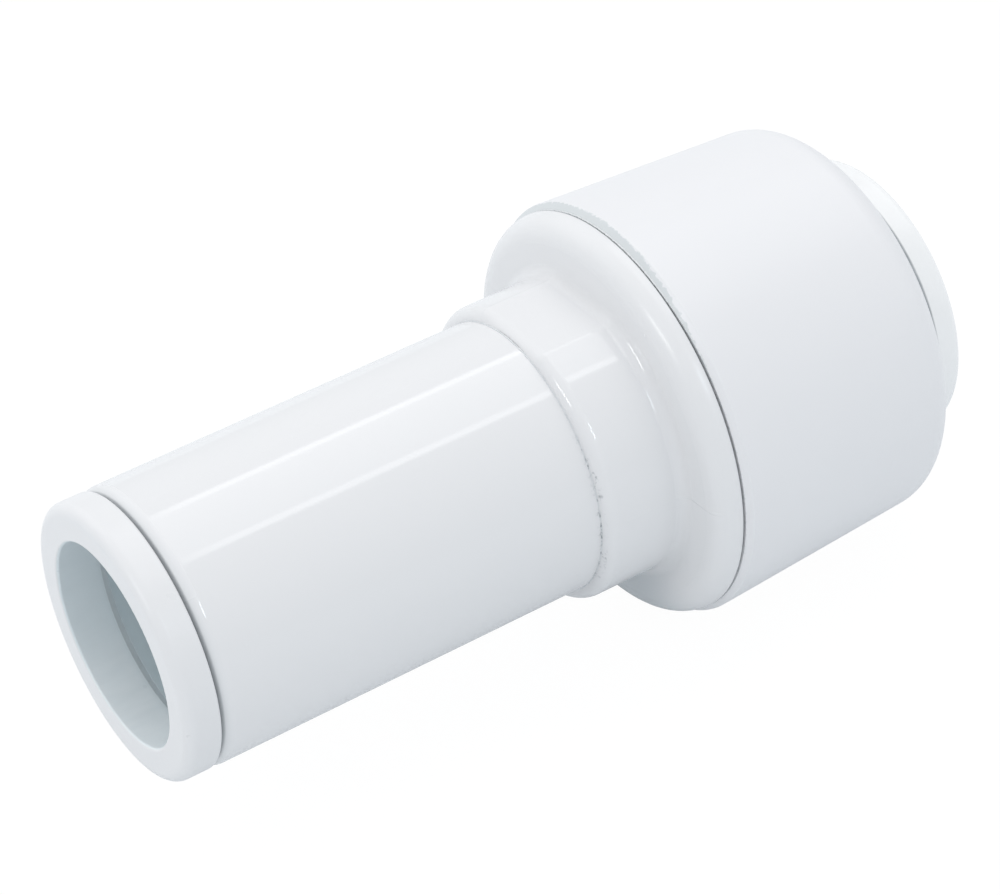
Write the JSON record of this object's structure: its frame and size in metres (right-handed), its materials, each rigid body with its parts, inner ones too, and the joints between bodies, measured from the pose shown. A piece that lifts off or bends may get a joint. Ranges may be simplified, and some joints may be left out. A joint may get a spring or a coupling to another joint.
{
  "type": "push to connect fitting",
  "caption": "White plastic push to connect pipe reducer: plain stem at one end, twist-lock socket with a release collet at the other.",
  "frame": {"origin": "on the axis, in the shoulder plane where the stem meets the collar", "axes": "+X along the axis out of the socket's mouth, -X towards the stem's free end, +Z square to a wrench flat"},
  "size_m": [0.0688, 0.0338, 0.0338],
  "materials": {
    "body_plastic": "glossy moulded plastic, white",
    "cap_plastic": "satin moulded plastic, white",
    "collet_plastic": "glossy moulded plastic, white",
    "liner_plastic": "satin moulded plastic, white",
    "seal_rubber": "matt black EPDM",
    "spring_steel": "bright rolled stainless strip"
  },
  "bodies": {
    "fitting": {"body": "body_plastic", "stem_tube": "body_plastic", "stem_insert": "liner_plastic", "socket_o_ring": "seal_rubber"},
    "spacer": {"spacer_ring": "liner_plastic"},
    "cap": {"screw_cap": "cap_plastic"},
    "release": {"collet": "collet_plastic", "collet_tooth_1": "spring_steel", "collet_tooth_2": "spring_steel", "collet_tooth_3": "spring_steel", "collet_tooth_4": "spring_steel", "collet_tooth_5": "spring_steel", "collet_tooth_6": "spring_steel", "collet_tooth_7": "spring_steel", "collet_tooth_8": "spring_steel", "collet_tooth_9": "spring_steel", "collet_tooth_10": "spring_steel"}
  },
  "joints": [
    {"name": "cap_advance", "type": "slide", "parent": "fitting", "child": "spacer", "axis": [1, 0, 0], "range_m": [0, 0.00075]},
    {"name": "cap_twist", "type": "hinge", "parent": "spacer", "child": "cap", "pos_m": [0.02, 0, 0], "axis": [1, 0, 0], "range_deg": [0, 90]},
    {"name": "collet_release", "type": "slide", "parent": "cap", "child": "release", "axis": [1, 0, 0], "range_m": [-0.0015, 0]}
  ],
  "couplings": [
    {"joint": "cap_twist", "follows": "cap_advance", "rad_per_m": 2094.4}
  ]
}
